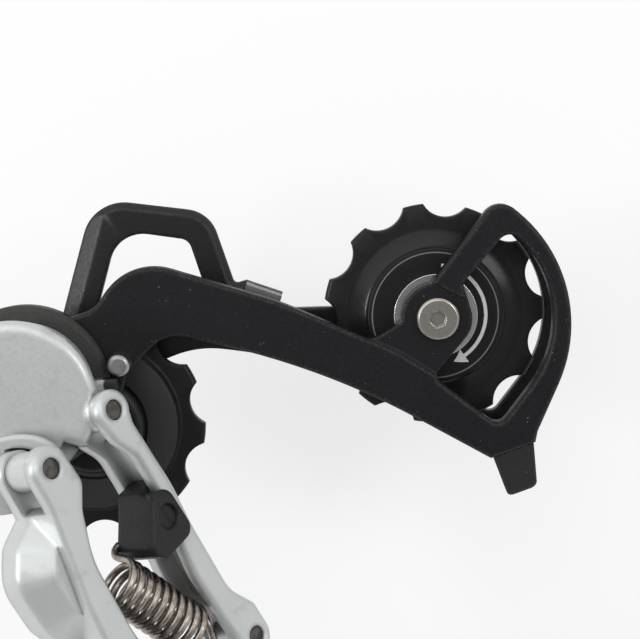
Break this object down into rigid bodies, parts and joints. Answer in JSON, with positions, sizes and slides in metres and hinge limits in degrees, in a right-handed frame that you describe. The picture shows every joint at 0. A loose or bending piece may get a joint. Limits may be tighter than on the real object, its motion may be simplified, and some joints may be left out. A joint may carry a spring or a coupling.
{
  "type": "bicycle rear derailleur",
  "caption": "Bicycle rear derailleur with a slanted parallelogram linkage, sprung chain cage and toothed pulleys that guide and tension a chain.",
  "frame": {"origin": "on the mounting bolt's axis, at the face that seats on the frame's hanger", "axes": "+X forward on the bicycle, +Y up as mounted, +Z outboard along the mounting bolt, towards its head"},
  "size_m": [0.123, 0.1188, 0.0484],
  "materials": {
    "silver_body": "satin silver-grey paint",
    "black_plate": "satin black coating with fine speckle",
    "pulley_plastic": "moulded black plastic",
    "dark_plastic": "black plastic",
    "seal_rubber": "black rubber",
    "spring_steel": "spring wire with a film of grease",
    "bright_steel": "nickel plated",
    "cap_steel": "pressed bright steel",
    "dark_steel": "dark steel",
    "bearing_steel": "ground steel"
  },
  "bodies": {
    "hanger_fixed": {"mounting_bolt": "bright_steel", "stop_plate": "black_plate"},
    "upper_group": {"upper_knuckle": "silver_body", "upper_spring": "spring_steel", "dust_ring": "seal_rubber", "limit_screw_high": "bright_steel", "limit_screw_low": "bright_steel", "angle_screw": "bright_steel", "upper_outer_pin": "dark_steel", "upper_inner_pin": "dark_steel"},
    "barrel_group": {"barrel_adjuster": "dark_plastic"},
    "outer_link_group": {"outer_link": "silver_body", "cable_bolt": "bright_steel", "cable_washer": "bright_steel"},
    "inner_link_group": {"inner_link": "silver_body", "spring_holder": "dark_plastic", "holder_pin": "dark_steel", "return_spring": "spring_steel"},
    "lower_group": {"lower_knuckle": "silver_body", "lower_spring": "spring_steel", "seal_ring": "seal_rubber", "axle_retainer": "dark_steel", "lower_outer_pin": "dark_steel", "lower_inner_pin": "dark_steel"},
    "cage_group": {"outer_plate": "black_plate", "inner_plate": "black_plate", "cage_axle": "dark_steel", "stop_pin": "bright_steel", "guide_bolt": "bright_steel", "tension_bolt": "bright_steel", "guide_bush": "bearing_steel", "guide_cap_outer": "dark_plastic", "guide_cap_inner": "dark_plastic", "tension_cap_outer": "cap_steel", "tension_cap_inner": "cap_steel", "bearing_inner_ring": "bearing_steel"},
    "guide_group": {"guide_pulley": "pulley_plastic"},
    "tension_group": {"tension_pulley": "pulley_plastic", "bearing_outer_ring": "bearing_steel", "bearing_balls": "bearing_steel"}
  },
  "joints": [
    {"name": "hanger_pivot", "type": "hinge", "parent": "hanger_fixed", "child": "upper_group", "pos_m": [0, 0, 0.01], "axis": [0, 0, 1], "range_deg": [0, 35], "stiffness_Nm_per_rad": 1.5, "springref_deg": -28.65},
    {"name": "barrel_turn", "type": "hinge", "parent": "upper_group", "child": "barrel_group", "pos_m": [-0.017, 0.008, 0.0145], "axis": [-1, 0, 0], "continuous": true},
    {"name": "link_swing", "type": "hinge", "parent": "upper_group", "child": "outer_link_group", "pos_m": [0.0194, -0.01291, 0.01549], "axis": [0.6839, 0.2489, -0.6858], "range_deg": [0, 50], "stiffness_Nm_per_rad": 0.6, "springref_deg": -57.3},
    {"name": "inner_link_swing", "type": "hinge", "parent": "upper_group", "child": "inner_link_group", "pos_m": [0.00952, -0.02088, 0.00273], "axis": [0.6839, 0.2489, -0.6858], "range_deg": [0, 50], "deforming": ["return_spring"]},
    {"name": "lower_knuckle_swing", "type": "hinge", "parent": "outer_link_group", "child": "lower_group", "pos_m": [0.04528, -0.05933, 0.02444], "axis": [0.6839, 0.2489, -0.6858], "range_deg": [-50, 0]},
    {"name": "cage_pivot", "type": "hinge", "parent": "lower_group", "child": "cage_group", "pos_m": [0.05008, -0.06952, -0.01], "axis": [0, 0, 1], "range_deg": [0, 150], "stiffness_Nm_per_rad": 0.3, "springref_deg": -85.94},
    {"name": "guide_spin", "type": "hinge", "parent": "cage_group", "child": "guide_group", "pos_m": [0.03772, -0.06075, -0.01], "axis": [0, 0, 1], "continuous": true},
    {"name": "tension_spin", "type": "hinge", "parent": "cage_group", "child": "tension_group", "pos_m": [-0.02997, -0.083, -0.01], "axis": [0, 0, 1], "continuous": true}
  ],
  "couplings": [
    {"joint": "inner_link_swing", "follows": "link_swing", "ratio": 1},
    {"joint": "lower_knuckle_swing", "follows": "link_swing", "ratio": -1}
  ]
}
